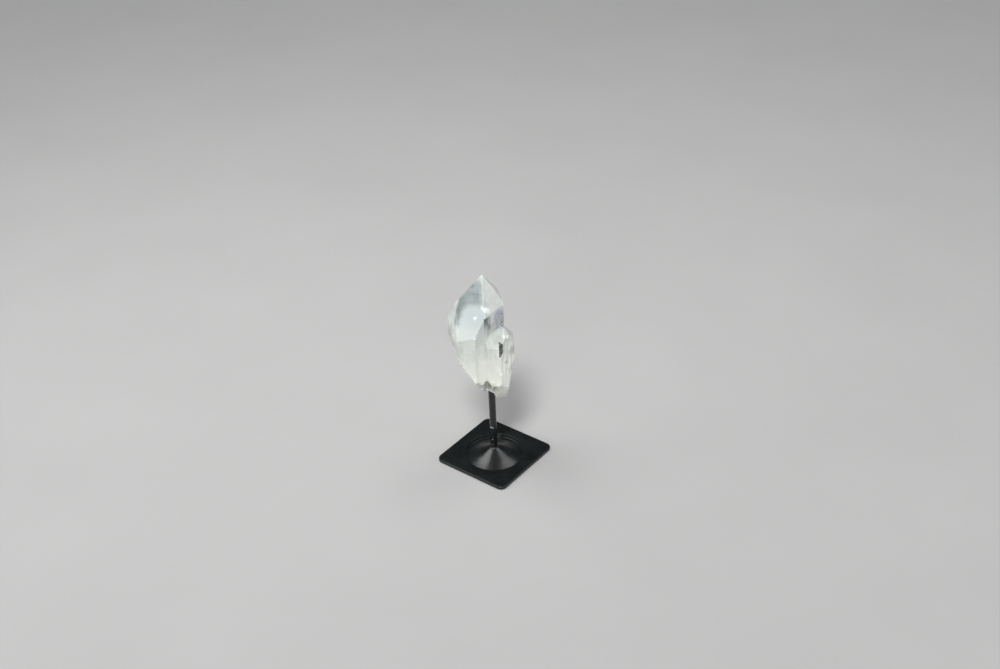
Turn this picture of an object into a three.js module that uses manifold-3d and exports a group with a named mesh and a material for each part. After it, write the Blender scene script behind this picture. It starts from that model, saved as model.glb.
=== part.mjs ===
// A milky quartz crystal, grown together with a smaller one at its side,
// on the black post of a square display base.
// Millimetres, +Z up. The origin is the middle of the flat underside of the base.
import * as THREE from 'three';
import { ConvexGeometry } from 'three/addons/geometries/ConvexGeometry.js';
import { mergeVertices } from 'three/addons/utils/BufferGeometryUtils.js';
import Module from 'manifold-3d';

const wasm = await Module();
wasm.setup();

// ---------- driving sizes ----------

// Base plate
const PLATE_SIDE = 60;
const PLATE_THICK = 2.6;
const PLATE_CORNER_R = 4;
const RIM_ROUND = 0.5;
const RIM_STEPS = 3;

// Round dish in the plate, and the cone that rises from its middle
const DISH_R = 20.2;
const DISH_DEPTH = 2.0;
const LIP_WIDTH = 2.6;
const TROUGH_R = 18;
const CONE_FOOT_R = 14;
const CONE_FOOT_Z = 0.1;
const CONE_TOP_R = 3.5;
const CONE_RISE = 5.1;
const ROUND_SIDES = 72;
const SECTION_STEPS = 6;

// Post
const POST_D = 5;
const POST_SINK = 4.2;
const POST_TOP_Z = 65;
const POST_CHAMFER = 0.4;
const SEAT_GAP = 0.25;

// How far the crystal is turned on its post, seen from above
const CRYSTAL_TURN = -51.2;

// Main crystal: its point, and the steepness of the six faces that meet there.
// Coordinates of the crystal run to its right (x), to its back (y) and up (z).
const TIP = [-3.1, 10, 146.5];
const POINT_DIP = 38;

// Growth and breakage
const LAYER_OVERLAP = 0.02;
const PLATE_ROOT = 3;
const LITTLE_LENGTH = 34;
const GROWTH_BOTTOM = 58;
const BREAK_DETAIL = 9;

// ---------- helpers ----------

const rad = THREE.MathUtils.degToRad;

function toSolid(geometry) {
  const bare = geometry.clone();
  bare.deleteAttribute('normal');
  bare.deleteAttribute('uv');
  const merged = mergeVertices(bare, 1e-4);
  return new wasm.Manifold(new wasm.Mesh({
    numProp: 3,
    vertProperties: new Float32Array(merged.attributes.position.array),
    triVerts: new Uint32Array(merged.index.array),
  }));
}

function toGeometry(solid) {
  const mesh = solid.getMesh();
  const geometry = new THREE.BufferGeometry();
  geometry.setAttribute('position', new THREE.BufferAttribute(new Float32Array(mesh.vertProperties), 3));
  geometry.setIndex(new THREE.BufferAttribute(new Uint32Array(mesh.triVerts), 1));
  geometry.computeVertexNormals();
  return geometry;
}

// A flat face: azimuth 0 faces the front and 90 the right, dip is how far it
// looks up, and the last value is any point on it.
function face(azimuth, dip, point) {
  const a = rad(azimuth);
  const e = rad(dip);
  const normal = new THREE.Vector3(Math.sin(a) * Math.cos(e), -Math.cos(a) * Math.cos(e), Math.sin(e));
  return { normal, reach: normal.dot(new THREE.Vector3(...point)) };
}

// The convex block that lies behind all of the faces: every corner where three
// faces meet and no other face cuts it off.
function block(faces) {
  const corners = [];
  const inside = (p) => faces.every((f) => f.normal.dot(p) < f.reach + 1e-6);
  for (let i = 0; i < faces.length; i += 1) {
    for (let j = i + 1; j < faces.length; j += 1) {
      for (let k = j + 1; k < faces.length; k += 1) {
        const [a, b, c] = [faces[i], faces[j], faces[k]];
        const bc = b.normal.clone().cross(c.normal);
        const volume = a.normal.dot(bc);
        if (Math.abs(volume) < 1e-7) continue;
        const p = bc.multiplyScalar(a.reach)
          .addScaledVector(c.normal.clone().cross(a.normal), b.reach)
          .addScaledVector(a.normal.clone().cross(b.normal), c.reach)
          .divideScalar(volume);
        if (inside(p) && !corners.some((q) => q.distanceTo(p) < 1e-4)) corners.push(p);
      }
    }
  }
  return toSolid(new ConvexGeometry(corners));
}

const joined = (solids) => solids.reduce((a, b) => a.add(b));

// ---------- crystal ----------

// Faces of the point, all through TIP
const pointFaces = [
  face(-28, POINT_DIP, TIP),
  face(34, POINT_DIP, TIP),
  face(102, 34, TIP),
  face(158, POINT_DIP, TIP),
  face(243, POINT_DIP, TIP),
  face(84, 22, [10.8, 0, 131]),
  face(-70, 16, [-18.2, 0, 136]),
  face(-100, 24, [-22.4, 4, 128.4]),
  face(10, 62, [-3.1, 10, 145.9]),
];

// Faces of the body. The step is how far its growth ledges stand in or out.
const bodyFaces = [
  { azimuth: -16, dip: 0, point: [-13, -16, 110], step: 0.12 },
  { azimuth: 42, dip: 0, point: [4, -4.6, 120], step: 0.12 },
  { azimuth: 102, dip: 0, point: [10.8, 0, 120], step: 0.5 },
  { azimuth: 164, dip: 0, point: [0, 21, 100], step: 0.7 },
  { azimuth: 224, dip: 0, point: [-15, 21, 100], step: 0.7 },
  { azimuth: 284, dip: 0, point: [-26.3, 0, 115], step: 0.4 },
  { azimuth: -68, dip: -9, point: [-25.6, -6, 110], step: 0.12 },
  { azimuth: -82, dip: -28, point: [-25, -4, 98], step: 0.12 },
  { azimuth: -48, dip: -34, point: [-11.6, -16.4, 77.4], step: 0 },
  { azimuth: 8, dip: -36, point: [-3.6, -11.5, 70.2], step: 0 },
  { azimuth: 175, dip: -34, point: [-4, 21, 80], step: 0 },
];

const scatter = (n) => {
  const s = Math.sin(n * 12.9898) * 43758.5453;
  return s - Math.floor(s);
};

// A crystal built up in layers, each a little wider or narrower than the last,
// so that ladder lines run across its sides.
function layered(caps, sides, bottom, top, layers, seed) {
  const height = (top - bottom) / layers;
  const solids = [];
  for (let i = 0; i < layers; i += 1) {
    const low = i === 0 ? bottom : bottom + height * (i + 0.5 * (scatter(seed + i) - 0.5)) - LAYER_OVERLAP;
    const next = bottom + height * (i + 1 + 0.5 * (scatter(seed + i + 1) - 0.5));
    const high = i === layers - 1 ? top : next;
    const walls = sides.map((side, n) => {
      const wall = face(side.azimuth, side.dip, side.point);
      wall.reach += side.step * (scatter(seed * 3.7 + i * 5.3 + n * 1.9) - 0.5);
      return wall;
    });
    solids.push(block([...caps, ...walls, face(0, -90, [0, 0, low]), face(0, 90, [0, 0, high])]));
  }
  return joined(solids);
}

const mainCrystal = layered(pointFaces, bodyFaces, 57.5, TIP[2] + 1, 24, 3);

const SIDE_TIP = [9.5, -5, 114.6];
const sidePoint = [
  face(-14, 38, SIDE_TIP),
  face(46, 36, SIDE_TIP),
  face(106, 40, SIDE_TIP),
  face(166, 40, SIDE_TIP),
  face(226, 40, SIDE_TIP),
  face(286, 50, [9.1, -5, 115.4]),
];
const sideFaces = [
  { azimuth: -14, dip: 0, point: [7.3, -15, 102], step: 0.12 },
  { azimuth: 50, dip: 0, point: [7.3, -15, 102], step: 0.2 },
  { azimuth: 100, dip: 0, point: [17, -4, 90], step: 0.5 },
  { azimuth: 166, dip: 0, point: [5, 7, 90], step: 0.3 },
  { azimuth: 226, dip: 0, point: [-4, 4, 90], step: 0.3 },
  { azimuth: 282, dip: 0, point: [-1.3, -14, 90], step: 0.1 },
  { azimuth: 84, dip: -12, point: [17.2, -4, 88], step: 0.2 },
  { azimuth: 12, dip: -33, point: [6, -14.4, 71.5], step: 0 },
  { azimuth: 100, dip: -25, point: [13.0, -3, 58.5], step: 0 },
  { azimuth: -62, dip: -37, point: [1.2, -4, 57.6], step: 0 },
  { azimuth: 88, dip: 26, point: [15.4, -3, 104.5], step: 0 },
];
const sideCrystal = layered(sidePoint, sideFaces, 53, SIDE_TIP[2] + 1, 15, 8);

// A small six-sided crystal with a point, leaning out of the others
function littleCrystal(tip, leanAzimuth, lean, width, turn) {
  const faces = [face(0, -90, [0, 0, -LITTLE_LENGTH])];
  for (let k = 0; k < 6; k += 1) {
    const azimuth = turn + 60 * k;
    const a = rad(azimuth);
    faces.push(face(azimuth, POINT_DIP, [0, 0, 0]));
    faces.push(face(azimuth, 0, [Math.sin(a) * width / 2, -Math.cos(a) * width / 2, 0]));
  }
  return block(faces).rotate([-lean, 0, 0]).rotate([0, 0, leanAzimuth + 180]).translate(tip);
}

// A thin plate grown flat on an upright face, gabled at the top. Its middle is
// counted along the face from the face's own point; it stands out by thickness.
function growthPlate(side, along, top, width, thickness) {
  const a = rad(side.azimuth);
  const across = new THREE.Vector3(Math.cos(a), Math.sin(a), 0);
  const outward = new THREE.Vector3(Math.sin(a), -Math.cos(a), 0);
  const at = (right, out) => new THREE.Vector3(side.point[0], side.point[1], top)
    .addScaledVector(across, along + right)
    .addScaledVector(outward, out)
    .toArray();
  return block([
    face(side.azimuth, 0, at(0, thickness)),
    face(side.azimuth + 180, 0, at(0, -PLATE_ROOT)),
    face(side.azimuth + 60, 0, at(width / 2, 0)),
    face(side.azimuth - 60, 0, at(-width / 2, 0)),
    face(side.azimuth, POINT_DIP, at(0, thickness)),
    face(side.azimuth + 60, POINT_DIP, at(width / 4, 0)),
    face(side.azimuth - 60, POINT_DIP, at(-width / 4, 0)),
    face(0, -90, [0, 0, GROWTH_BOTTOM]),
  ]);
}

// The room that growth on a crystal may fill: its upright faces moved out by
// one distance and its broken ones by another
function roomAround(sides, uprightOut, brokenOut) {
  const walls = sides.map((side) => {
    const wall = face(side.azimuth, side.dip, side.point);
    wall.reach += side.dip === 0 ? uprightOut : brokenOut;
    return wall;
  });
  return block([...walls, face(0, 90, [0, 0, TIP[2]]), face(0, -90, [0, 0, GROWTH_BOTTOM])]);
}

const littleCrystals = joined([
  littleCrystal([4.5, 17.5, 95], 150, 14, 11, 12),
  littleCrystal([-9, 20.5, 85], 196, 22, 9, 30),
  littleCrystal([-1.5, 16.5, 77], 176, 28, 8, 5),
  littleCrystal([11.5, 8.5, 81], 112, 16, 8, 22),
]).intersect(roomAround(bodyFaces, 12, 3));

const [sideFront, sideRight] = sideFaces;
const sidePlates = joined([
  growthPlate(sideRight, 11.4, 100, 5, 0.6),
  growthPlate(sideRight, 5.2, 92, 4, 0.4),
  growthPlate(sideRight, 13.4, 90.5, 4, 1.2),
  growthPlate(sideRight, 8.4, 84, 5, 0.9),
  growthPlate(sideRight, 11.6, 78, 4, 1.3),
  growthPlate(sideFront, -4.6, 76, 6, 0.4),
]).intersect(roomAround(sideFaces, 2, 0));

const [, mainRight, , mainBack, mainBackLeft] = bodyFaces;
const mainPlates = joined([
  growthPlate(mainRight, 6.5, 119.5, 4, 0.3),
  growthPlate(mainBack, -4, 113, 7, 0.6),
  growthPlate(mainBack, 4.5, 99, 6, 1.1),
  growthPlate(mainBackLeft, 3.5, 106, 8, 0.7),
  growthPlate(mainBackLeft, -4.5, 93, 6, 1.2),
]).intersect(roomAround(bodyFaces, 2, 0));

// Hollows with smooth curved walls, left where pieces broke away
const curved = (centre, radius) => {
  const ball = new THREE.IcosahedronGeometry(radius, BREAK_DETAIL);
  ball.translate(...centre);
  return toSolid(ball);
};

const breakFaces = joined([
  curved([-10.2, -19.4, 112.9], 3),
  curved([-17.5, -21, 68], 9),
  curved([-10.5, -19.5, 64], 9),
  curved([-4.2, -17.2, 60.5], 8),
  curved([4.2, -20.5, 60], 9),
  curved([10.2, -19.5, 57.5], 10),
  curved([18, -10, 52], 8),
  curved([-15, 2, 47], 14),
  curved([-5, 19, 50], 13),
  curved([11, 11, 49], 11),
  curved([4, 1, 43.5], 10.5),
]);

// A notch across the edge between the two front faces of the point: a small
// floor that looks up, with a wall behind it
const NOTCH_FRONT = [-2.2, -7.8, 127.0];
const NOTCH_BACK = [-2.4, -4.4, 130.7];
const NOTCH_REACH = 12;
const notch = block([
  face(188, -62, NOTCH_FRONT),
  face(175, -5, NOTCH_BACK),
  face(0, 0, [0, NOTCH_FRONT[1] - NOTCH_REACH, 0]),
  face(90, 0, [NOTCH_REACH, 0, 0]),
  face(270, 0, [-NOTCH_REACH, 0, 0]),
  face(0, 90, [0, 0, NOTCH_BACK[2] + NOTCH_REACH]),
]);

const grown = joined([mainCrystal, sideCrystal, littleCrystals, sidePlates, mainPlates]);
const crystalSolid = grown.subtract(breakFaces).subtract(notch);

// ---------- post ----------

const postBottom = PLATE_THICK + CONE_RISE - POST_SINK;
const postProfile = [
  [0, postBottom],
  [POST_D / 2, postBottom],
  [POST_D / 2, POST_TOP_Z - POST_CHAMFER],
  [POST_D / 2 - POST_CHAMFER, POST_TOP_Z],
  [0, POST_TOP_Z],
];

function lathe(profile, sides) {
  const geometry = new THREE.LatheGeometry(profile.map(([r, z]) => new THREE.Vector2(r, z)), sides);
  geometry.rotateX(Math.PI / 2);
  return geometry;
}

const bore = toSolid(lathe([
  [0, postBottom - SEAT_GAP],
  [POST_D / 2 + SEAT_GAP, postBottom - SEAT_GAP],
  [POST_D / 2 + SEAT_GAP, POST_TOP_Z + SEAT_GAP],
  [0, POST_TOP_Z + SEAT_GAP],
], ROUND_SIDES / 2));

// ---------- base ----------

function roundedSquare(side, radius) {
  const h = side / 2;
  const shape = new THREE.Shape();
  shape.moveTo(h - radius, -h);
  shape.absarc(h - radius, -h + radius, radius, -Math.PI / 2, 0, false);
  shape.absarc(h - radius, h - radius, radius, 0, Math.PI / 2, false);
  shape.absarc(-h + radius, h - radius, radius, Math.PI / 2, Math.PI, false);
  shape.absarc(-h + radius, -h + radius, radius, Math.PI, Math.PI * 1.5, false);
  return shape;
}

const plateGeometry = new THREE.ExtrudeGeometry(roundedSquare(PLATE_SIDE - 2 * RIM_ROUND, PLATE_CORNER_R), {
  depth: PLATE_THICK - 2 * RIM_ROUND,
  bevelEnabled: true,
  bevelThickness: RIM_ROUND,
  bevelSize: RIM_ROUND,
  bevelSegments: RIM_STEPS,
  curveSegments: 10,
});
plateGeometry.translate(0, 0, RIM_ROUND);

// Section of the middle, from the top of the cone out to the flat of the plate:
// straight down the cone, round through the trough and over the lip.
const section = new THREE.CurvePath();
const sectionPoint = (r, z) => new THREE.Vector2(r, PLATE_THICK + z);
section.add(new THREE.LineCurve(sectionPoint(CONE_TOP_R, CONE_RISE), sectionPoint(CONE_FOOT_R, CONE_FOOT_Z)));
section.add(new THREE.QuadraticBezierCurve(
  sectionPoint(CONE_FOOT_R, CONE_FOOT_Z),
  sectionPoint(TROUGH_R, -DISH_DEPTH),
  sectionPoint(DISH_R, -DISH_DEPTH / 2),
));
section.add(new THREE.QuadraticBezierCurve(
  sectionPoint(DISH_R, -DISH_DEPTH / 2),
  sectionPoint(DISH_R + LIP_WIDTH / 2, 0),
  sectionPoint(DISH_R + LIP_WIDTH, 0),
));
const sectionPoints = section.getPoints(SECTION_STEPS).map((v) => [v.x, v.y]);
const topZ = PLATE_THICK + CONE_RISE;
const blank = toSolid(lathe([
  [0, PLATE_THICK / 2],
  [DISH_R, PLATE_THICK / 2],
  [DISH_R, topZ],
  [0, topZ],
], ROUND_SIDES));
const aboveSection = toSolid(lathe([
  ...sectionPoints,
  [DISH_R + LIP_WIDTH, topZ + 1],
  [CONE_TOP_R, topZ + 1],
  sectionPoints[0],
], ROUND_SIDES));

const baseSolid = toSolid(plateGeometry).add(blank).subtract(aboveSection).subtract(bore);

// ---------- object ----------

const paint = new THREE.MeshStandardMaterial({ color: 0x161a19, roughness: 0.3, metalness: 0 });
const quartz = new THREE.MeshStandardMaterial({ color: 0xdfe4de, roughness: 0.12, metalness: 0, flatShading: true });

function piece(name, geometry, material) {
  const mesh = new THREE.Mesh(geometry, material);
  mesh.name = name;
  return mesh;
}

const turned = crystalSolid.rotate([0, 0, CRYSTAL_TURN]).subtract(bore);

const object = new THREE.Group();
object.add(piece('base_plate', toGeometry(baseSolid), paint));
object.add(piece('post', lathe(postProfile, ROUND_SIDES / 2), paint.clone()));
object.add(piece('crystal', toGeometry(turned), quartz));

export default object;
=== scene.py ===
# %% [markdown]
# # A milky quartz crystal on a black stand
#
# The object is three pieces: a natural quartz crystal with a smaller one grown on its
# side, a thin round post, and a small square plate with a dish and a cone pressed into it.
# Their sizes come from a packed frame, which this lesson dresses. Each piece is rebuilt
# here as a finer mesh in the same place, and gets a finish made of shader nodes.

# %% Load the frame
import math

import bpy
import numpy as np
from mathutils import Matrix, Vector, noise
from mathutils.bvhtree import BVHTree


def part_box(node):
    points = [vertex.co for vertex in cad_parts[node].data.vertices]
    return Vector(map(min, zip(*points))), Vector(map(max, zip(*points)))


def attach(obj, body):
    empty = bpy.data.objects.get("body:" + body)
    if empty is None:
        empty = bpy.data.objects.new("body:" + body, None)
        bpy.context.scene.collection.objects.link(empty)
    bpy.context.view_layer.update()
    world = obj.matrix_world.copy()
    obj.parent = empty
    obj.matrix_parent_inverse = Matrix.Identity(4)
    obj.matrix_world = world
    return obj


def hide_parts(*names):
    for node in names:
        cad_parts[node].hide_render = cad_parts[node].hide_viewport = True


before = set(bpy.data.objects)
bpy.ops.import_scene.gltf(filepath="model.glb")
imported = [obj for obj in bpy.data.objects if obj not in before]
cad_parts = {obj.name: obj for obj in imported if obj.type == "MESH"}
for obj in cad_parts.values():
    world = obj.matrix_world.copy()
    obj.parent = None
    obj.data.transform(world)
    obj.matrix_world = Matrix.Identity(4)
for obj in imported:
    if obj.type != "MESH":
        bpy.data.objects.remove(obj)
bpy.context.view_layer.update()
MM = 0.001
MM_PER_METRE = 1000
print("nodes:", sorted(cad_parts))

# %% [markdown]
# ## Places and sizes
#
# Everything is in metres, with the middle of the plate's underside at the origin. The
# crystal is turned on its post, so its own directions (x to its right, y to its back)
# differ from the plate's. The frame gives the boxes of the three pieces; the few sizes
# that a box can't tell, such as the cone's slope, are named here in millimetres.

# %% Sizes
CRYSTAL_TURN = math.radians(-51.2)

plate_low, plate_high = (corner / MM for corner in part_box("base_plate"))
post_low, post_high = (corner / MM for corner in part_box("post"))
crystal_low, crystal_high = (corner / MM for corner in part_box("crystal"))

PLATE_SIDE = plate_high.x - plate_low.x
PLATE_THICK = 2.6
PLATE_CORNER_R = 4.5
RIM_ROUND = 0.5
CONE_TOP_Z = plate_high.z
CONE_TOP_R = 3.5
CONE_SLOPE = 0.48
CONE_END_R = 12.0
TROUGH_R = 20.0
TROUGH_Z = 0.75
WALL_R = 20.7
DISH_R = 21.5
POST_R = (post_high.x - post_low.x) / 2
print(f"plate {PLATE_SIDE:.1f} mm, cone top {CONE_TOP_Z:.1f} mm, post {2 * POST_R:.2f} mm")
print(f"crystal from {crystal_low.z:.1f} to {crystal_high.z:.1f} mm")

# %% [markdown]
# ## Shader maths as plain expressions
#
# Node trees get long, so three small classes keep them readable. The first, `Signal`,
# wraps one socket. It can be added, subtracted, multiplied and raised to a power like a
# number, and each operation adds a Math node.

# %% Signals
class Signal:
    """One output socket that can be used in sums and products."""

    def __init__(self, nodes, socket):
        self.nodes = nodes
        self.socket = socket

    def math(self, operation, *values):
        sockets = dict(enumerate(values))
        return self.nodes.node("ShaderNodeMath", {"operation": operation}, sockets)

    def __add__(self, other):
        return self.math("ADD", self, other)

    def __radd__(self, other):
        return self.math("ADD", other, self)

    def __sub__(self, other):
        return self.math("SUBTRACT", self, other)

    def __rsub__(self, other):
        return self.math("SUBTRACT", other, self)

    def __mul__(self, other):
        return self.math("MULTIPLY", self, other)

    def __rmul__(self, other):
        return self.math("MULTIPLY", other, self)

    def __pow__(self, other):
        return self.math("POWER", self, other)

    def most(self, other):
        return self.math("MAXIMUM", self, other)

    def ramp(self, low, high):
        """0 below low and 1 above high, with a soft rise between them."""
        settings = {"interpolation_type": "SMOOTHSTEP"}
        sockets = {"Value": self, "From Min": low, "From Max": high}
        return self.nodes.node("ShaderNodeMapRange", settings, sockets)


print("operations:", [name for name in vars(Signal) if not name.startswith("__")])

# %% [markdown]
# The second, `Nodes`, holds one node tree and adds any node to it with one method. The
# nodes that are wanted most have short names of their own: colours go through Mix, and
# places through Vector Math, because a Math node would turn either into a grey number.
# The third, `Finish`, is the node tree of a material.

# %% Node trees
class Nodes:
    """One node tree, and the one way in which its nodes are made."""

    def __init__(self, tree, output_kind):
        self.tree = tree
        self.tree.nodes.clear()
        self.output = self.tree.nodes.new(output_kind)

    def node(self, kind, settings=None, sockets=None, out=0):
        """Adds any node. Its settings come first, because they can change its sockets."""
        node = self.tree.nodes.new(kind)
        for name, value in (settings or {}).items():
            setattr(node, name, value)
        for key, value in (sockets or {}).items():
            self.plug(value, node.inputs[key])
        return Signal(self, node.outputs[out])

    def plug(self, value, target):
        if isinstance(value, Signal):
            self.tree.links.new(value.socket, target)
        else:
            target.default_value = value

    def show(self, surface, volume=None):
        """Plugs the finished shaders into the output."""
        self.plug(surface, self.output.inputs["Surface"])
        if volume:
            self.plug(volume, self.output.inputs["Volume"])

    def mix(self, factor, first, second):
        """A blend of two colours, which are sockets 6 and 7 of a Mix node."""
        sockets = {0: factor, 6: first, 7: second}
        settings = {"data_type": "RGBA", "clamp_factor": True}
        return self.node("ShaderNodeMix", settings, sockets, out=2)

    def noise(self, place, scale, detail=3.0, roughness=0.5, distortion=0.0):
        sockets = {
            "Vector": place,
            "Scale": scale,
            "Detail": detail,
            "Roughness": roughness,
            "Distortion": distortion,
        }
        return self.node("ShaderNodeTexNoise", None, sockets)

    def split(self, vector):
        parts = self.node("ShaderNodeSeparateXYZ", None, {0: vector})
        return [Signal(self, socket) for socket in parts.socket.node.outputs]

    def stretched(self, place, *factors):
        sockets = {0: place, 1: factors}
        return self.node("ShaderNodeVectorMath", {"operation": "MULTIPLY"}, sockets)

    def distance(self, place, centre):
        sockets = {0: place, 1: centre}
        return self.node("ShaderNodeVectorMath", {"operation": "DISTANCE"}, sockets, out=1)


print("named nodes:", [name for name in vars(Nodes) if not name.startswith("_")])

# %% Material trees
class Finish(Nodes):
    """The node tree of one material."""

    def __init__(self, name):
        self.material = bpy.data.materials.new(name)
        self.material.use_nodes = True
        super().__init__(self.material.node_tree, "ShaderNodeOutputMaterial")

    def object_place(self):
        """Places on the object, in metres."""
        return self.node("ShaderNodeTexCoord", out=3)


def rgba(red, green, blue):
    return (red, green, blue, 1.0)


print("grey for a colour socket:", rgba(0.5, 0.5, 0.5))

# %% [markdown]
# ## The camera
#
# The stand is seen from above one corner, through a 50 mm lens. The camera's directions
# were worked out from the plate's corners and the post, in a frame whose x runs to the
# right of the view, and the crystal's turn carries them over to the plate's frame.

# %% Camera
VIEW_RIGHT = Vector((0.99911, -0.02324, -0.03526))
VIEW_UP = Vector((0.04222, 0.54984, 0.83420))
VIEW_PLACE = Vector((7.504, -793.523, 626.94))
LENS_MM = 50
SENSOR_MM = 36

turn = Matrix.Rotation(CRYSTAL_TURN, 3, "Z")
right, up = turn @ VIEW_RIGHT, turn @ VIEW_UP
camera_data = bpy.data.cameras.new("camera")
camera_data.lens = LENS_MM
camera_data.sensor_width = SENSOR_MM
camera = bpy.data.objects.new("camera", camera_data)
bpy.context.scene.collection.objects.link(camera)
axes = Matrix((right, up, right.cross(up))).transposed()
camera.matrix_world = Matrix.Translation(turn @ VIEW_PLACE * MM) @ axes.to_4x4()
bpy.context.scene.camera = camera
print("camera at", [round(value, 3) for value in camera.matrix_world.translation])

# %% [markdown]
# ## Floor and sky
#
# A plain pale floor, as on a small studio table, with the faint mottle of real paper.
# The sky is pale near the floor and dark overhead: black paint shows whatever it mirrors,
# so under a white sky the flat of the plate would look grey.

# %% Floor and sky
FLOOR_RADIUS = 8.0
FLOOR_COLOURS = rgba(0.47, 0.47, 0.465), rgba(0.51, 0.51, 0.505)
SKY_COLOURS = rgba(0.46, 0.465, 0.47), rgba(0.06, 0.065, 0.07)
SKY_PALE_TO, SKY_DARK_FROM = 0.02, 0.40


def floor_finish():
    finish = Finish("pale_floor")
    mottle = finish.noise(finish.object_place(), 9.0, detail=4.0)
    colour = finish.mix(mottle, *FLOOR_COLOURS)
    sockets = {"Base Color": colour, "Roughness": 0.8}
    finish.show(finish.node("ShaderNodeBsdfPrincipled", None, sockets))
    return finish.material


def studio_sky():
    world = bpy.data.worlds.new("studio")
    world.use_nodes = True
    sky = Nodes(world.node_tree, "ShaderNodeOutputWorld")
    rise = sky.split(sky.node("ShaderNodeTexCoord"))[2]
    dark = (rise - SKY_PALE_TO) * (1 / (SKY_DARK_FROM - SKY_PALE_TO))
    colour = sky.mix(dark, *SKY_COLOURS)
    sky.show(sky.node("ShaderNodeBackground", None, {"Color": colour}))
    return world


bpy.ops.mesh.primitive_circle_add(vertices=96, radius=FLOOR_RADIUS, fill_type="NGON")
floor = bpy.context.object
floor.name = "floor"
floor.data.materials.append(floor_finish())
bpy.context.scene.world = studio_sky()
print("floor is", 2 * FLOOR_RADIUS, "m across")

# %% [markdown]
# ## Lamps
#
# Glossy paint and flat crystal faces work like mirrors, so each lamp is soft and is
# placed for what it does in them. A high key lights the front, and a low one before it
# makes the small glints. Two at the sides only fill the shade, and are kept out of
# reflections. Two behind draw the bright sides of the cone. A plain view transform with
# a little less exposure keeps the whites of the crystal apart, which a film-like curve
# would flatten.

# %% Lamps
LAMP_TARGET_Z = 0.09
EXPOSURE = -0.6


def direction(azimuth, elevation):
    """Unit vector from the object towards a lamp. Azimuth 0 is the camera's side."""
    angle = math.radians(azimuth) + CRYSTAL_TURN
    rise = math.radians(elevation)
    level = math.cos(rise)
    return Vector((math.sin(angle) * level, -math.cos(angle) * level, math.sin(rise)))


def lamp(name, data, azimuth, elevation, distance=1.0, mirrored=True):
    """Puts a lamp round the crystal and turns it to face it."""
    lamp_object = bpy.data.objects.new(name, data)
    bpy.context.scene.collection.objects.link(lamp_object)
    towards = direction(azimuth, elevation)
    lamp_object.location = towards * distance + Vector((0, 0, LAMP_TARGET_Z))
    lamp_object.rotation_euler = towards.to_track_quat("Z", "Y").to_euler()
    lamp_object.visible_camera = False
    lamp_object.visible_glossy = mirrored
    print(f"{name}: azimuth {azimuth}, elevation {elevation}, strength {data.energy:.1f}")


def sun(name, strength, width, **place):
    """A far soft lamp: width is its angle in degrees."""
    data = bpy.data.lights.new(name, "SUN")
    data.energy = strength
    data.angle = math.radians(width)
    lamp(name, data, **place)


def box(name, strength, side, **place):
    """A square soft box with a side in metres."""
    data = bpy.data.lights.new(name, "AREA")
    data.energy = strength
    data.size = side
    lamp(name, data, **place)


sun("key", 3.1, 14, azimuth=-12, elevation=56)
box("front_box", 7.5, 0.50, azimuth=-18, elevation=16, distance=1.5)
box("right_fill", 5.5, 0.50, azimuth=60, elevation=14, distance=1.3, mirrored=False)
box("left_fill", 5.5, 0.50, azimuth=-86, elevation=14, distance=1.3, mirrored=False)
box("back_left_box", 3.6, 0.40, azimuth=-116, elevation=60, distance=0.8)
box("back_right_box", 1.6, 0.34, azimuth=128, elevation=60, distance=0.8)
bpy.context.scene.view_settings.view_transform = "Standard"
bpy.context.scene.view_settings.exposure = EXPOSURE

# %% [markdown]
# ## Meshes from numbers
#
# Each piece is a list of points and faces. `mesh_object` makes the object, shades it
# smooth, lets it ride on the only body and puts it in place of its frame node.
# `rings_to_mesh` is for the turned pieces: it joins rings of points into one skin.

# %% Mesh helpers
def mesh_object(name, mesh, node, finish):
    piece = bpy.data.objects.new(name, mesh)
    bpy.context.scene.collection.objects.link(piece)
    mesh.shade_smooth()
    mesh.materials.clear()
    mesh.materials.append(finish)
    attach(piece, "root")
    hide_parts(node)
    print(f"{name}: {len(mesh.vertices)} points, {len(mesh.polygons)} faces")


def rings_to_mesh(name, rings, bottom, top):
    """Joins rings of equal length into a closed skin, with a fan to a point at each end."""
    points = [bottom] + [p for ring in rings for p in ring] + [top]
    count = len(rings[0])
    faces = []
    for i in range(count):
        j = (i + 1) % count
        faces.append((0, 1 + j, 1 + i))
        for k in range(len(rings) - 1):
            low, high = 1 + k * count, 1 + (k + 1) * count
            faces.append((low + i, low + j, high + j, high + i))
        last = 1 + (len(rings) - 1) * count
        faces.append((last + i, last + j, len(points) - 1))
    mesh = bpy.data.meshes.new(name)
    mesh.from_pydata([Vector(p) * MM for p in points], [], faces)
    mesh.update()
    return mesh


# %% [markdown]
# ## Black paint
#
# The stand is pressed steel under a coat of glossy black paint with a faint green-grey
# tint. Paint is never quite even: it has a fine orange peel, thicker and thinner clouds,
# and dust that dried in it. It pooled in the dish, where the peel is coarser. Low on the
# post a few light grey spots are painted in as glints, drawn as nicks where bare steel
# would show. All of that is small, so it is done with bump, colour and roughness, and the
# form under it stays clean.

# %% Painted glints on the post
# Places of the painted glints on the post, drawn as nicks in its paint.
GLINT_NICK_PLACES = [(26.1, -38, 0.8), (26.0, -12, 0.6), (15.6, -24, 0.5), (10.8, -22, 0.4)]


def on_post(height, azimuth):
    """A place on the skin of the post. Azimuth 0 is the camera's side."""
    angle = math.radians(azimuth) + CRYSTAL_TURN
    return Vector((math.sin(angle) * POST_R, -math.cos(angle) * POST_R, height))


def painted_glint_nicks(finish, place):
    """Painted glints on the post, as light grey nicks: (height, azimuth, radius) in
    GLINT_NICK_PLACES.
    """
    ragged = (finish.noise(place, 2.2, detail=2.0) - 0.5) * 1.6
    spots = 0.0
    for height, azimuth, radius in GLINT_NICK_PLACES:
        reach = finish.distance(place, on_post(height, azimuth)) + ragged
        spots = (1 - reach.ramp(radius - 0.3, radius)).most(spots)
    return spots


print("bare spots:", len(GLINT_NICK_PLACES))

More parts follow.
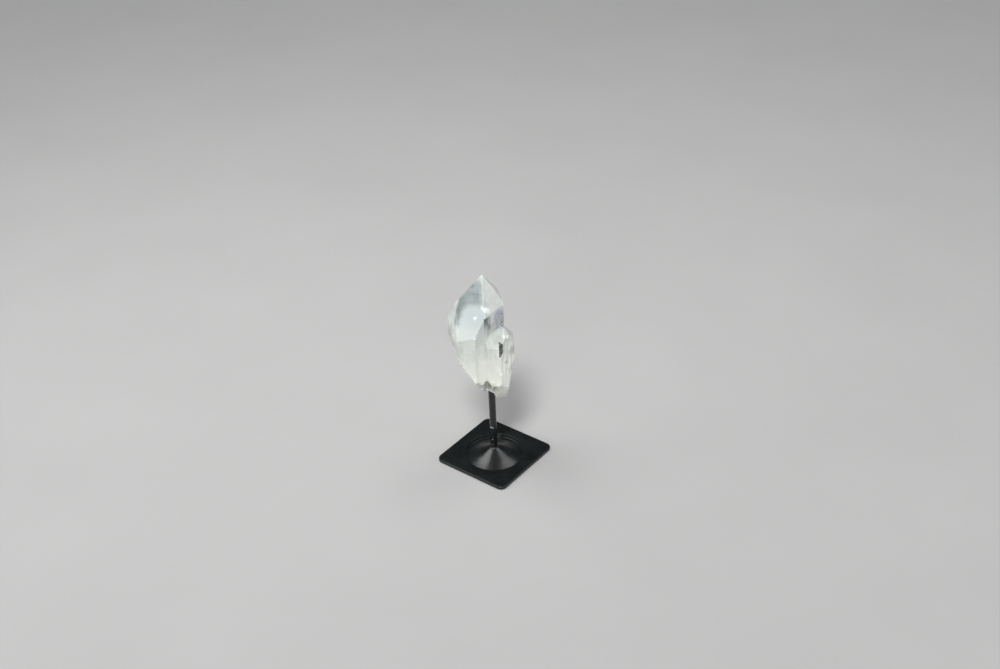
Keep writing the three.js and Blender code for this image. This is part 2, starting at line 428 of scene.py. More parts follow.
# %% Paint finish
PAINT_DARK = rgba(0.0068, 0.0086, 0.0082)
PAINT_THIN = rgba(0.0108, 0.0136, 0.0130)
DUST = rgba(0.10, 0.11, 0.105)
# Painted highlight: the light grey of the nicks makes glints on the black post.
GLINT_NICK_GREY = rgba(0.42, 0.43, 0.42)
PAINT_IOR = 1.45
PEEL_IN_DISH = 2.4


def paint_finish():
    finish = Finish("black_paint")
    place = finish.stretched(finish.object_place(), *[MM_PER_METRE] * 3)
    dish = 1 - finish.distance(finish.stretched(place, 1, 1, 0), (0, 0, 0)).ramp(18, 21)
    peel = finish.noise(place, 1.3, detail=4.0, roughness=0.65)
    peel = peel + finish.noise(place, 0.8, detail=2.0) * PEEL_IN_DISH * dish
    glint_nick = painted_glint_nicks(finish, place)
    cloud = finish.noise(place, 0.07, detail=4.0)
    dust = finish.noise(place, 2.6, detail=1.0).ramp(0.74, 0.80)
    colour = finish.mix(cloud.ramp(0.35, 0.7), PAINT_DARK, PAINT_THIN)
    colour = finish.mix(dust * 0.5, colour, DUST)
    # Painted glints low on the post.
    colour = finish.mix(glint_nick, colour, GLINT_NICK_GREY)
    bump = finish.node("ShaderNodeBump", None, {
        "Strength": 0.35,
        "Distance": 0.00010,
        "Height": peel + dust * 0.6,
    })
    finish.show(finish.node("ShaderNodeBsdfPrincipled", None, {
        "Base Color": colour,
        "Roughness": 0.20 - 0.06 * dish + cloud * 0.14 + dust * 0.2 + glint_nick * 0.1,
        "IOR": PAINT_IOR,
        "Coat Weight": 0.15,
        "Coat Roughness": 0.12,
        "Normal": bump,
    }))
    return finish.material


black_paint = paint_finish()
print("paint nodes:", len(black_paint.node_tree.nodes))

# %% [markdown]
# ## The plate, its dish and its cone
#
# One sheet is pressed into a square plate with rounded corners, a round dish and a low
# cone. Seen from above it is a set of rings: the inner ones are circles, the outer ones
# follow the rounded square. So the skin is swept through rings that share the same
# directions from the middle. The section is drawn first. It starts inside the post, goes
# over a small bead of paint straight down the cone, through a gentle curve into the
# trough, and up a short steep wall to the flat.

# %% Section of the plate
BEAD_HEIGHT = 0.7
BEAD_SPREAD = 0.5
START_DROP = 0.4
CONE_RUN_OUT = 2.5
WALL_LEAN = 0.15
WALL_HEIGHT = 0.8


def bend(start, middle, end, steps):
    """Points of the curve that leaves start and reaches end, both towards middle."""
    for i in range(1, steps + 1):
        t = i / steps
        first = [a + (b - a) * t for a, b in zip(start, middle)]
        second = [b + (c - b) * t for b, c in zip(middle, end)]
        yield tuple(a + (b - a) * t for a, b in zip(first, second))


def plate_section():
    """(distance from the middle, height) from the post out to the flat of the plate."""
    bead_top = (POST_R + 0.02, CONE_TOP_Z + BEAD_HEIGHT)
    bead_foot = (CONE_TOP_R + BEAD_SPREAD, CONE_TOP_Z - BEAD_SPREAD * CONE_SLOPE)
    start = (POST_R - 0.3, CONE_TOP_Z - START_DROP)
    section = [start, (POST_R - 0.2, bead_top[1] - 0.1), bead_top]
    section += bend(bead_top, (POST_R + 0.3, CONE_TOP_Z), bead_foot, 6)
    for radius in np.linspace(bead_foot[0], CONE_END_R, 10)[1:].tolist():
        section.append((radius, bead_foot[1] - (radius - bead_foot[0]) * CONE_SLOPE))
    spread = (CONE_END_R + CONE_RUN_OUT, section[-1][1] - CONE_RUN_OUT * CONE_SLOPE)
    section += bend(section[-1], spread, (TROUGH_R, TROUGH_Z), 12)
    wall = (WALL_R + WALL_LEAN, TROUGH_Z + WALL_HEIGHT)
    section += bend(section[-1], (WALL_R, TROUGH_Z - 0.1), wall, 6)
    section += bend(section[-1], (WALL_R + 0.3, PLATE_THICK), (DISH_R, PLATE_THICK), 8)
    return section


print("points of the section:", len(plate_section()))

# %% [markdown]
# Past the dish the rings turn from circles into the rounded square, go round the rim and
# come back under the plate.

# %% Plate mesh
SIDE_STEPS = 26
CORNER_STEPS = 12
RIM_STEPS = 6
RIM_MARGIN = 0.1
FLAT_SHARES = (0.3, 0.65, 1.0)
UNDERSIDE_SHARES = (0.75, 0.4, 0.1)


def square_outline():
    """Points of the rounded square, once round, starting at the foot of the right side."""
    half = PLATE_SIDE / 2
    straight = half - PLATE_CORNER_R
    points = []
    for quarter in range(4):
        spin = Matrix.Rotation(quarter * math.pi / 2, 2)
        for i in range(SIDE_STEPS):
            share = i / SIDE_STEPS
            points.append(spin @ Vector((half, straight * (2 * share - 1))))
        for i in range(CORNER_STEPS):
            angle = math.pi / 2 * i / CORNER_STEPS
            arc = Vector((math.cos(angle), math.sin(angle))) * PLATE_CORNER_R
            points.append(spin @ (Vector((straight, straight)) + arc))
    return points


def plate_rings():
    """The rings of the whole skin, from the post out, round the rim and back under it."""
    outline = square_outline()
    rings = []
    for radius, height in plate_section():
        rings.append([(*(p.normalized() * radius), height) for p in outline])
    inner = 1 - (RIM_ROUND + RIM_MARGIN) / (PLATE_SIDE / 2)
    for share in FLAT_SHARES:
        circle_to_square = ((p.normalized() * DISH_R).lerp(p * inner, share) for p in outline)
        rings.append([(*p, PLATE_THICK) for p in circle_to_square])
    for top in (True, False):
        for i in range(RIM_STEPS + 1):
            angle = math.pi / 2 * i / RIM_STEPS
            angle = angle if top else math.pi / 2 - angle
            shrink = 1 - RIM_ROUND * (1 - math.sin(angle)) / (PLATE_SIDE / 2)
            drop = RIM_ROUND * (1 - math.cos(angle))
            height = PLATE_THICK - drop if top else drop
            rings.append([(p.x * shrink, p.y * shrink, height) for p in outline])
    for share in UNDERSIDE_SHARES:
        rings.append([(p.x * share, p.y * share, 0.0) for p in outline])
    return rings


rings = list(reversed(plate_rings()))
skin_start = (0, 0, CONE_TOP_Z - START_DROP)
plate_mesh = rings_to_mesh("stamped_plate", rings, (0, 0, 0), skin_start)
mesh_object("stamped_plate", plate_mesh, "base_plate", black_paint)

# %% [markdown]
# ## The post
#
# A plain rod, cut and chamfered at the top, where it goes up into the crystal. A coat of
# paint on a thin rod sags a little, so its radius wanders by a few hundredths of a
# millimetre, which breaks the straight highlight the way real paint does. Low on one side
# the paint ran: it left a ridge across the rod and a trail of small lumps under it. Such
# lumps change the outline of the highlight, so they are in the mesh and not in a bump.

# %% Run of paint
RUN_TOP = 26.0
RUN_AZIMUTH = -18
RUN_LUMPS = 14
RUN_STEP = 1.1


def run_of_paint():
    """Lumps as (height, azimuth in degrees, radius, rise): two at the top and a trail.

    The sines make the trail uneven, in the same way on each run.
    """
    lumps = [(RUN_TOP, -42, 0.9, 0.28), (RUN_TOP + 0.1, -14, 0.8, 0.26)]
    for i in range(1, RUN_LUMPS + 1):
        radius = 0.5 + 0.25 * math.sin(1.7 * i)
        rise = radius * (0.20 + 0.10 * math.cos(2.3 * i))
        lumps.append((RUN_TOP - RUN_STEP * i, RUN_AZIMUTH + 6 * math.sin(0.9 * i), radius, rise))
    return lumps


LUMPS = [(on_post(height, azimuth), *size) for height, azimuth, *size in run_of_paint()]
print("lumps of paint:", len(LUMPS))

# %% Post mesh
POST_SIDES = 84
POST_CHAMFER = 0.4
PAINT_SAG = 0.025
SAGS_AROUND, SAGS_PER_MM = 1.5, 0.22
FINE_RINGS = 180
PLAIN_RINGS = 80


def lump_rise(place):
    """How far the run of paint stands out at a place on the rod."""
    rise = 0
    for centre, radius, top in LUMPS:
        reach = (place - centre).length / radius
        rise = max(rise, top * max(0, 1 - reach * reach))
    return rise


def post_ring(height, radius):
    """One ring of the rod's skin, with the sag and the lumps of its paint."""
    ring = []
    for i in range(POST_SIDES):
        angle = 2 * math.pi * i / POST_SIDES
        x, y = math.cos(angle), math.sin(angle)
        wander = Vector((SAGS_AROUND * x, SAGS_AROUND * y, SAGS_PER_MM * height))
        sag = PAINT_SAG * (noise.noise(wander) - 1)
        across = radius + sag + lump_rise(Vector((radius * x, radius * y, height)))
        ring.append((across * x, across * y, height))
    return ring


run_end = RUN_TOP + 1
fine_part = np.linspace(post_low.z, run_end, FINE_RINGS, endpoint=False)
plain_part = np.linspace(run_end, post_high.z - POST_CHAMFER, PLAIN_RINGS)
post_rings = [post_ring(height, POST_R) for height in [*fine_part.tolist(), *plain_part.tolist()]]
post_rings.append(post_ring(post_high.z, POST_R - POST_CHAMFER))
post_mesh = rings_to_mesh("painted_post", post_rings, (0, 0, post_low.z), (0, 0, post_high.z))
mesh_object("painted_post", post_mesh, "post", black_paint)

# %% [markdown]
# ## The crystal's mesh
#
# The frame's crystal has the true faces with knife-sharp edges. A real one has worn and
# chipped edges, fine growth steps on its sides, and a root that broke away from the rock
# with a rough, shell-like surface. All of it could be drawn with bump, but bump leaves
# outlines smooth. So a voxel remesh gives an even skin of small faces on the same form,
# and numbers then move its points.

# %% Remesh the crystal
VOXEL = 0.3


def remeshed(source):
    """An even skin of small faces on the form of an object, which stays as it is."""
    copy = bpy.data.objects.new("rough_crystal", source.data.copy())
    bpy.context.scene.collection.objects.link(copy)
    remesh = copy.modifiers.new("skin", "REMESH")
    remesh.mode = "VOXEL"
    remesh.voxel_size = VOXEL * MM
    graph = bpy.context.evaluated_depsgraph_get()
    mesh = bpy.data.meshes.new_from_object(copy.evaluated_get(graph))
    bpy.data.objects.remove(copy)
    return mesh


crystal_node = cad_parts["crystal"]
crystal_mesh = remeshed(crystal_node)
print("remeshed crystal:", len(crystal_mesh.polygons), "faces")

# %% [markdown]
# ## Which points lie on an edge
#
# A point on a flat face stays where it is when the mesh is smoothed, one on an outer edge
# sinks in, and one in a crease rises. So a smoothed copy of the points, compared with the
# real ones, tells how sharp each place is, and the thin growth steps hardly count. Many
# more rounds give the soft form that the seam between the two crystals follows. The same
# mean of neighbours also finds single points that stick out like needles after the
# points are moved, and draws them back.

# %% Sharpness
SMOOTH_ROUNDS = 26
EDGE_SINK = 0.34
MERGE_ROUNDS = 200
SPIKE_ROUNDS = 8
SPIKE_HEIGHT = 0.16


def as_array(collection, name, width):
    """One row of numbers for each point of a mesh."""
    values = np.zeros(len(collection) * width, np.float32)
    collection.foreach_get(name, values)
    return values.reshape(-1, width).astype(float)


class Skin:
    """The points of a mesh in millimetres, their normals, and who is whose neighbour."""

    def __init__(self, mesh):
        self.points = as_array(mesh.vertices, "co", 3) / MM
        self.normals = as_array(mesh.vertex_normals, "vector", 3)
        ends = np.zeros(len(mesh.edges) * 2, np.int32)
        mesh.edges.foreach_get("vertices", ends)
        first, second = ends.reshape(-1, 2).T
        self.here = np.concatenate([first, second])
        self.there = np.concatenate([second, first])
        self.degree = np.bincount(self.here, minlength=len(self.points))[:, None]

    def averaged(self, rows, rounds=1):
        """One row of values for each point, each replaced by the mean of its neighbours."""
        for _ in range(rounds):
            columns = [np.bincount(self.here, column[self.there], len(rows)) for column in rows.T]
            rows = np.stack(columns, axis=1) / self.degree
        return rows

    def sharpness(self):
        """A measure from -1 to 1: above 0 on outer edges, and below 0 in creases."""
        smooth = self.averaged(self.points, SMOOTH_ROUNDS)
        sink = ((self.points - smooth) * self.normals).sum(axis=1)
        return np.clip(sink / EDGE_SINK, -1, 1)

    def towards_smooth(self):
        """How each point moves when the large form is made smooth."""
        return self.averaged(self.points, MERGE_ROUNDS) - self.points

    def without_spikes(self, points):
        """Pulls back the few points that stand far out of their neighbours."""
        for _ in range(SPIKE_ROUNDS):
            middle = self.averaged(points)
            spiked = np.linalg.norm(points - middle, axis=1) > SPIKE_HEIGHT
            points = np.where(spiked[:, None], middle, points)
        return points


skin = Skin(crystal_mesh)
sharp = skin.sharpness()
print(f"points on outer edges: {(sharp > 0.5).sum()}, in creases: {(sharp < -0.5).sum()}")

# %% [markdown]
# ## Growth lines
#
# The movements of the points are small, so the crystal keeps its form. Upright faces get
# ladders of growth lines: flat strips with a step between them, other strips on each
# side. As steps in the mesh, unlike a bump, they also show in the outline.

# %% Growth lines
LADDER_DEPTH = 0.10
LADDER_STEP = 1.15
LADDER_RISE = 0.28
SIDE_DEGREES = 20
UPRIGHT = 0.2
SWELL_DEPTH = 0.05
SWELLS_PER_MM = 0.16
HASH_WEIGHTS = (12.9898, 78.233)
HASH_SPREAD = 43758.5453


def fade(value, start, end):
    """0 at start and before it, 1 at end and past it, and straight in between."""
    return min(1.0, max(0.0, (value - start) / (end - start)))


def hashed(*numbers):
    """A fixed random number from 0 to 1 for each pair of whole numbers."""
    value = math.sin(sum(n * k for n, k in zip(numbers, HASH_WEIGHTS))) * HASH_SPREAD
    return value - math.floor(value)


def ladder(point, side):
    """How far a growth strip on one side is set back, from 0 to 1."""
    wander = 0.35 * noise.noise(Vector((0.12 * point.x, 0.12 * point.y, 0.3 * side)))
    level = point.z / LADDER_STEP + wander + 0.8 * noise.noise(Vector((0, side, 0.35 * point.z)))
    strip, share = math.floor(level), level - math.floor(level)
    low, high = hashed(strip, side), hashed(strip + 1, side)
    return low + (high - low) * fade(share, 1 - LADDER_RISE, 1)


def face_relief(point, flat):
    """The slow swell of a face, and growth lines if it is upright. It looks along flat."""
    rise = SWELL_DEPTH * noise.noise(point * SWELLS_PER_MM)
    if abs(flat.z) < UPRIGHT:
        side = round(math.degrees(math.atan2(flat.x, -flat.y)) / SIDE_DEGREES)
        slow = noise.noise(Vector((0.05 * point.x, 0.05 * side, 0.05 * point.z)))
        rise -= LADDER_DEPTH * fade(slow, -0.3125, 0.3125) * ladder(point, side)
    return rise


print("growth strips up the crystal:", round((crystal_high.z - crystal_low.z) / LADDER_STEP))

# %% [markdown]
# ## The broken root
#
# Faces that look down broke off the rock. They fall apart into flat tilted shards of two
# sizes with crooked borders, and the large ones are rippled round their middles as a
# shell is. The vector noise in Blender gives other values on each run, so `drift` makes
# a vector of three plain noises, which stay the same.

# %% Broken root
SHARDS = [(8.0, 2.6, 0.05), (3.4, 1.3, 0.0)]
BORDER_WANDER = 1.6
BREAK_GRAIN = 0.02
RIPPLES_PER_SHARD = 5
DRIFT_OFFSETS = [(31.7, 0, 0), (0, 47.1, 0), (0, 0, 59.3)]


def drift(point):
    """Three smooth noises, each from about -1 to 1, that belong to a place."""
    return Vector([noise.noise(point + Vector(offset)) for offset in DRIFT_OFFSETS])


def shards(point):
    """Rise or fall of the broken root: flat tilted shards with crooked borders."""
    rise = BREAK_GRAIN * noise.fractal(point * 0.9, 0.9, 2.0, 3)
    crooked = point + BORDER_WANDER * drift(point * 0.22)
    for size, depth, ripple in SHARDS:
        _, centres = noise.voronoi(crooked / size)
        away = point / size - centres[0]
        tilt = drift(centres[0] * 3.7)
        rise += depth * away.dot(tilt)
        rise += ripple * math.sin(2 * math.pi * RIPPLES_PER_SHARD * away.length)
    return rise


print("shards of", " and ".join(f"{size} mm" for size, _, _ in SHARDS))

# %% [markdown]
# ## The seam and the chips
#
# Low on the front the two crystals run into each other, so the sharp valley between them
# turns into a soft seam there. Outer edges lose chips where a slow noise is high.

# %% Seam and chips
CHIP_DEPTH = 0.32


def merged_share(point):
    """1 low on the front, where the two crystals run into each other with a soft seam."""
    height = fade(point.z, 102, 88) * fade(point.z, 70, 78)
    middle = fade(point.x, -10, -6) * fade(point.x, 7, 4)
    return height * middle * fade(point.y, -5, -8)


def chip(point, sharpness):
    """Depth of the chips on an outer edge."""
    bite = noise.noise(point * 0.5) + 0.35 * noise.noise(point * 1.6) - 0.06
    return CHIP_DEPTH * sharpness * fade(bite, 0, 0.4)


print("seam at 95 mm:", merged_share(Vector((0, -12, 95))), "of full strength")

# %% [markdown]
# ## Marks in single places
#
# A few marks sit in one place only. Each has a centre, a radius and a depth, in the
# crystal's own directions. Bruises are knocks on the edges, each with a white glint
# painted on it. Pits are dark specks, and four of them in a row make a short crack. Hollows are
# larger bites in the root: two
# under the front edge, and a deep notch that shows the top of the post from the front.
# They are pushed in along one direction, because along the normals a deep one would fold.

# %% Marks
def marks(*rows):
    """Each row holds the x, y and z of a centre, a radius and a depth."""
    return [(Vector(row[:3]), *row[3:]) for row in rows]


GLINT_BRUISES = marks(
    (-8.9, -7.7, 123.0, 0.75, 0.10),
    (12.4, -8.9, 107.5, 1.1, 0.35),
    (7.6, -14.7, 80.8, 1.0, 0.40),
    (0.6, -13.7, 73.9, 0.5, 0.10),
    (1.7, -14.0, 74.1, 0.5, 0.10),
    (-9.3, -16.4, 112.0, 0.6, 0.10),
)
HOLLOWS = marks(
    (2.0, -13.2, 69.6, 2.8, 1.2),
    (-2.6, -12.0, 69.6, 3.6, 1.8),
    (-0.5, -6.0, 58.5, 5.0, 5.0),
)
PITS = marks(
    (9.2, 0.0, 120.6, 0.50, 0.3),
    (9.1, -0.4, 114.3, 0.70, 0.4),
    (9.0, -0.5, 111.3, 0.45, 0.3),
    (10.7, -11.5, 88.2, 0.45, 0.3),
    (10.95, -11.1, 88.5, 0.45, 0.3),
    (11.2, -10.7, 88.85, 0.45, 0.3),
    (11.45, -10.3, 89.2, 0.42, 0.3),
)
print("bruises, hollows and pits:", len(GLINT_BRUISES), len(HOLLOWS), len(PITS))

# %% Dents and bites
INWARD = Vector((0, 0.77, 0.64))
BRUISE_RIM = 1.6
PIT_RIM = 1.5
FARTHEST_REACH = 3


def dents(point, rows, rim, ragged=0.0):
    """Strength, from 0, and depth of the marks round a point: rim is where they end."""
    strength, depth = 0.0, 0.0
    for centre, radius, deepest in rows:
        reach = (point - centre).length / radius
        if reach > FARTHEST_REACH:
            continue
        reach += ragged * noise.noise(point * 2.3)
        strength = max(strength, rim - reach)
        depth += deepest * max(0.0, 1 - reach * reach)
    return strength, depth


def bites(point):
    """How far the hollows push a point, as a vector."""
    push = Vector((0, 0, 0))
    for centre, radius, depth in HOLLOWS:
        reach = (point - centre).length / radius + 0.35 * noise.noise(point * 0.7)
        push += INWARD * depth * max(0.0, 1 - reach * reach)
    return push


print(f"bite at the third hollow: {bites(HOLLOWS[2][0]).length:.1f} mm")

# %% [markdown]
# ## Move the points
#
# Each point now takes the sum of its movements along its normal, and then the pushes of
# the hollows and of the seam, which have directions of their own. The face it belongs to
# is looked up on the frame's crystal, because the remesh has rounded the edges and its
# own normals turn there. What is edge, crease or break, and where the bruises and pits
# are, is kept on the mesh as attributes, so that the finish can use it; the finish paints
# glints on the bruises and rim highlights on the edges.

# %% Move the points
UNTURN = Matrix.Rotation(-CRYSTAL_TURN, 3, "Z")
TURN = UNTURN.transposed()
BREAK_TOP = 92.0
BREAK_FROM, BREAK_FULL = 0.15, 0.40
ROOT_BLEND = 14
ROOT_SWELL = 0.7
PIT_RAGGED = 0.5


def broken_share(skin, flats):
    """1 on faces that look down, and 0 on others, with a soft border."""
    down = np.array([fade(-flat.z, BREAK_FROM, BREAK_FULL) for flat in flats])
    down *= skin.points[:, 2] < BREAK_TOP
    return skin.averaged(down[:, None], ROOT_BLEND)[:, 0]


def carve(skin, sharp):
    """The moved points, and the masks of the finish by name."""
    tree = BVHTree.FromObject(crystal_node, bpy.context.evaluated_depsgraph_get())
    flats = [UNTURN @ tree.find_nearest(Vector(point) * MM)[1] for point in skin.points]
    broken = broken_share(skin, flats)
    merge = skin.towards_smooth()
    bruise, pit, shift = np.zeros((3, len(skin.points)))
    push = np.zeros((len(skin.points), 3))
    for index, flat in enumerate(flats):
        point = UNTURN @ Vector(skin.points[index])
        shift[index] = face_relief(point, flat)
        if broken[index] > 0.01:
            shift[index] += broken[index] * (ROOT_SWELL + shards(point))
        if sharp[index] > 0:
            shift[index] -= chip(point, sharp[index])
        bruise[index], bruise_depth = dents(point, GLINT_BRUISES, BRUISE_RIM)
        pit[index], pit_depth = dents(point, PITS, PIT_RIM, ragged=PIT_RAGGED)
        shift[index] -= bruise_depth + pit_depth
        push[index] = TURN @ bites(point) + Vector(merge[index]) * merged_share(point)
    moved = skin.without_spikes(skin.points + skin.normals * shift[:, None] + push)
    masks = {"edge_wear_and_rim_light": sharp, "crease": -sharp, "broken": broken, "bruise": bruise, "pit": pit}
    return moved, masks


moved, masks = carve(skin, sharp)
crystal_mesh.vertices.foreach_set("co", (moved * MM).astype(np.float32).ravel())
for name, values in masks.items():
    layer = crystal_mesh.attributes.new(name, "FLOAT", "POINT")
    layer.data.foreach_set("value", np.clip(values, 0, 1).astype(np.float32))
    print(f"{name}: mean {np.clip(values, 0, 1).mean():.4f}")
crystal_mesh.update()

# %% [markdown]
# ## Fewer faces where it is flat
#
# The even skin spends as many faces on a flat side as on the broken root. A collapse
# takes them from the flat places first, and leaves the steps and chips as they are.

# %% Thin out the mesh
FACE_LIMIT = 180000


def thinned(mesh):
    """The same skin with about FACE_LIMIT triangles."""
    holder = bpy.data.objects.new("dense_crystal", mesh)
    bpy.context.scene.collection.objects.link(holder)
    collapse = holder.modifiers.new("thin", "DECIMATE")
    collapse.ratio = min(1.0, FACE_LIMIT / (2 * len(mesh.polygons)))
    graph = bpy.context.evaluated_depsgraph_get()
    result = bpy.data.meshes.new_from_object(holder.evaluated_get(graph))
    bpy.data.objects.remove(holder)
    return result


crystal_mesh = thinned(crystal_mesh)
print("thinned crystal:", len(crystal_mesh.polygons), "faces")

# %% [markdown]
# ## The quartz finish
#
# Milky quartz is clear quartz full of tiny drops of water. Where they are many, light is
# scattered back and the crystal is white; where they are few, one sees into it. So the
# finish mixes two plain shaders: a milky one with light scattered under its skin, and a
# clear one with the refraction of quartz and a little absorption. Clouds of
# three-dimensional noise, placed in the crystal's own directions, say which one shows.
# A volume of real drops would be truer and far slower to render. Three directions are
# named by the azimuth of a face in degrees, and `along` measures across such a face.

# %% Quartz measures
QUARTZ_IOR = 1.544
FRONT_FACE, LEFT_FACE, WINDOW_EDGE = 7, -28, 42


class Quartz(Finish):
    """The quartz finish, with places in the crystal's own directions and millimetres."""

    def __init__(self, name):
        super().__init__(name)
        self.place = self.node("ShaderNodeMapping", None, {
            "Vector": self.object_place(),
            "Rotation": (0, 0, -CRYSTAL_TURN),
            "Scale": [MM_PER_METRE] * 3,
        })
        self.x, self.y, self.z = self.split(self.place)
        grain = self.stretched(self.place, 1, 1, 0.2)
        self.cloud = self.noise(self.place, 0.10, detail=4.0, roughness=0.55, distortion=0.4)
        self.streak = self.noise(grain, 0.45, detail=4.0, roughness=0.6)
        self.fine = self.noise(self.place, 0.9, detail=3.0)
        self.crease, self.broken = self.mask("crease"), self.mask("broken")
        self.bruise, self.pit = self.mask("bruise"), self.mask("pit")
        patchy = 0.2 + self.cloud.ramp(0.44, 0.66)
        height = 0.45 + 0.55 * self.z.ramp(92, 112)
        ridge = self.ball((-2, -4, 136), 8.0, 13.0)
        # Edge wear, which the finish also paints white as a rim highlight.
        self.wear_and_rim_light = self.mask("edge_wear_and_rim_light") * patchy * height * (1 - 0.9 * ridge)

    def mask(self, name):
        """An attribute that was kept on the mesh."""
        return self.node("ShaderNodeAttribute", {"attribute_name": name}, out=2)

    def along(self, azimuth):
        """Distance to the right along a face whose normal has this azimuth."""
        turn = math.radians(azimuth)
        return self.x * math.cos(turn) + self.y * math.sin(turn)

    def ball(self, centre, near, far, ragged=3.0):
        """1 inside a ragged ball round a centre, and 0 well outside it."""
        reach = self.distance(self.place, centre) + (self.cloud + self.streak - 1) * ragged
        return 1 - reach.ramp(near, far)

    def band(self, value, low, high, soft):
        """1 where value lies between low and high."""
        return value.ramp(low - soft, low + soft) * (1 - value.ramp(high - soft, high + soft))


quartz = Quartz("milky_quartz")
print("nodes for the measures:", len(quartz.tree.nodes))

# %% [markdown]
# ## Zones
#
# The crystal isn't the same all over, so its zones come first, each a signal from 0 to 1.
# The left face of the point is clearer than the body, most of all in a small feather of
# flaws near its edge, and fades to the milky right one past the ridge. A phantom, the
# milky ghost of an older and smaller point, shows through the left face. The side crystal
# is whiter with grey patches on its right, the back is clearer, the foot is creamy, and
# the root is pale on the right. Painted shade darkens the two hollows in the middle of
# the root, and the seam between the crystals is painted lighter against its shade.

# %% Zones
class Zones:
    """Where the crystal is clear, milky or creamy."""

    def __init__(self, quartz):
        ragged = (quartz.streak - 0.5) * 1.5
        near_front = 1 - quartz.y.ramp(6, 11)
        left_of_ridge = 1 - (quartz.along(FRONT_FACE) + ragged).ramp(-3.6, -1.4)
        softly_left = 1 - (quartz.along(FRONT_FACE) + ragged * 2.0).ramp(-7.0, 1.0)
        left_band = 1 - (quartz.along(LEFT_FACE) + ragged * 2.0).ramp(-20.5, -18.0)
        self.phantom = self.ghost(quartz) * left_of_ridge * quartz.z.ramp(107, 111)
        self.phantom *= (quartz.along(LEFT_FACE) + ragged * 2.0).ramp(-18.0, -12.0)
        self.bright = 1 - (quartz.z + ragged * 2.0).ramp(112, 126)
        self.clear_point = softly_left * quartz.z.ramp(113, 119) * near_front
        self.clear_point *= (1 - self.phantom) * (1 - 0.78 * left_band)
        self.right_point = (1 - softly_left) * quartz.z.ramp(122, 126) * near_front
        self.feather = quartz.ball((-9.5, 6.5, 139), 0.5, 4.5, ragged=7.0)
        self.lavender = quartz.ball((9, -1, 119), 4.0, 10.0)
        self.left_strip = quartz.ball((-27, 0, 104), 2.0, 14.0, ragged=8.0)
        self.side = quartz.ball((12, -10, 92), 9.0, 15.0)
        self.back = quartz.ball((-9, 24, 122), 6.0, 22.0, ragged=9.0)
        self.notch = self.notch_at_ridge(quartz)
        self.under_window = quartz.ball((-2.5, -11, 114), 3.0, 8.0) * (1 - left_of_ridge)
        self.pale_root = quartz.ball((8.5, -9, 62.5), 5.0, 8.5, ragged=2.0)
        upper_patch = quartz.ball((15.5, -6.5, 96.5), 1.5, 5.5, ragged=5.0)
        self.grey_patch = upper_patch.most(quartz.ball((15.5, -6, 81.5), 1.5, 6.5, ragged=5.0))
        self.seam_painted_light = self.seam(quartz)
        self.hollow_shade = self.painted_hollow_shade(quartz)
        self.low = 1 - quartz.z.ramp(72, 104)

    def ghost(self, quartz):
        """The cloud of the phantom, with a border that wanders."""
        slow = quartz.noise(quartz.place, 0.055, detail=1.0)
        wander = (slow - 0.5) * 12 + (quartz.cloud - 0.5) * 5
        reach = quartz.distance(quartz.place, (-8, -8, 116.0)) + wander
        return 1 - reach.ramp(5.5, 19.5)

    def seam(self, quartz):
        """The face between the two crystals, where they run into each other low down, painted
        lighter against its shade.
        """
        face = quartz.band(quartz.along(WINDOW_EDGE), -17.0, -10.5, 2.0)
        low = quartz.z.ramp(68, 74) * (1 - quartz.z.ramp(98, 108))
        return face * low * (1 - quartz.y.ramp(-8, -5))

    def notch_at_ridge(self, quartz):
        """The small notch that crosses the ridge, sloping with the left face, where a highlight
        is painted.
        """
        height = quartz.z + quartz.along(LEFT_FACE) * 0.45
        return quartz.band(height, 127.7, 129.6, 0.3) * quartz.ball((-1.5, -6, 128.3), 2.8, 4.0)

    def painted_hollow_shade(self, quartz):
        """Painted shade in the two front hollows of the root, in two ragged patches."""
        left = quartz.ball((-2.4, -11.5, 69.0), 1.0, 5.0, ragged=3.5)
        right = quartz.ball((2.2, -12.5, 68.4), 0.6, 3.8, ragged=3.5)
        return left.most(right) * (0.75 + 1.1 * (quartz.fine - 0.3))


zones = Zones(quartz)
print("nodes with the zones:", len(quartz.tree.nodes))

# %% [markdown]
# ## Clear or milky
#
# Each zone has its own share of clear crystal, and the largest one counts. Wisps of
# noise then wander through it. On top come two small clear windows, one on the ridge
# below the notch, and one on the front edge of the side crystal. Their darkness, the
# dark depth seen through clear quartz, is painted into the glass colour.

# %% Clear share
CLEAR_ZONES = {
    "right_point": 0.10,
    "feather": 0.47,
    "lavender": 0.28,
    "left_strip": 0.28,
    "side": 0.12,
    "grey_patch": 0.22,
    "back": 0.46,
}
CLEAR_POINT = 0.38
CLEAR_ANYWHERE = 0.16


def clear_share(quartz, zones):
    """How clear each place is, from 0, milky, to 1."""
    share = CLEAR_POINT * zones.clear_point
    for name, clearness in CLEAR_ZONES.items():
        share = share.most(clearness * getattr(zones, name))
    wisps = (0.5 - quartz.streak) * 0.45 + (0.5 - quartz.cloud) * 0.5
    wisps = wisps * (1 - 0.5 * zones.clear_point - 0.5 * zones.right_point)
    wisps = wisps * (1 - 0.45 * zones.low)
    share = share + wisps + CLEAR_ANYWHERE - zones.low * 0.15
    share = share * (1 - 0.9 * zones.phantom)
    return share * (1 - 0.6 * quartz.z.ramp(142.5, 145.5))


print("zones with a share of their own:", ", ".join(["clear_point", *CLEAR_ZONES]))

# %% Windows
def ridge_window(quartz, jag):
    """The window on the ridge, with a jagged top, which fades out downwards."""
    across = quartz.band(quartz.along(WINDOW_EDGE), -9.5, -3.3, 0.25)
    window = across * quartz.band(quartz.z + jag, 109, 123.4, 0.5)
    return window * (1 - quartz.y.ramp(-4.5, -3.5)) * quartz.z.ramp(108, 120)


